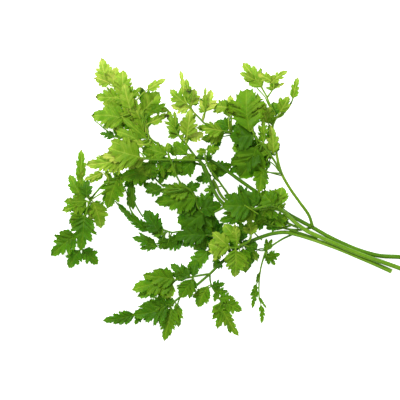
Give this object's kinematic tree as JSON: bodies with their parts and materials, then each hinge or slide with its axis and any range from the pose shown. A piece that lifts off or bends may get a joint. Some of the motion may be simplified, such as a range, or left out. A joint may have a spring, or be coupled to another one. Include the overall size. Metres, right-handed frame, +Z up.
{
  "type": "chervil bunch",
  "caption": "Loose bunch of cut chervil lying on a surface: slim cut stalks that fan out into compound leaves with toothed, lobed leaflets.",
  "frame": {"origin": "centre of the bunch's plan, on the surface that it lies on", "axes": "+X from the leaves towards the cut ends of the stalks, +Y away from the near edge, +Z up from the surface"},
  "size_m": [0.1805, 0.1412, 0.0246],
  "materials": {
    "stalk": "satin",
    "leaf_light": "satin",
    "leaf_dark": "satin"
  },
  "bodies": {
    "root": {"stalk_upper": "stalk", "stalk_middle": "stalk", "stalk_lower": "stalk", "frond_crown": "leaf_light", "frond_top": "leaf_light", "frond_top_middle": "leaf_dark", "frond_upper_right": "leaf_light", "frond_upper_big": "leaf_dark", "frond_bright_left": "leaf_light", "frond_left": "leaf_dark", "frond_centre": "leaf_dark", "frond_small_top": "leaf_light", "frond_lower_middle": "leaf_dark", "frond_right": "leaf_light", "frond_under": "leaf_dark", "frond_near_bright": "leaf_light", "frond_sprig": "leaf_light", "frond_near_left": "leaf_dark"}
  },
  "joints": []
}
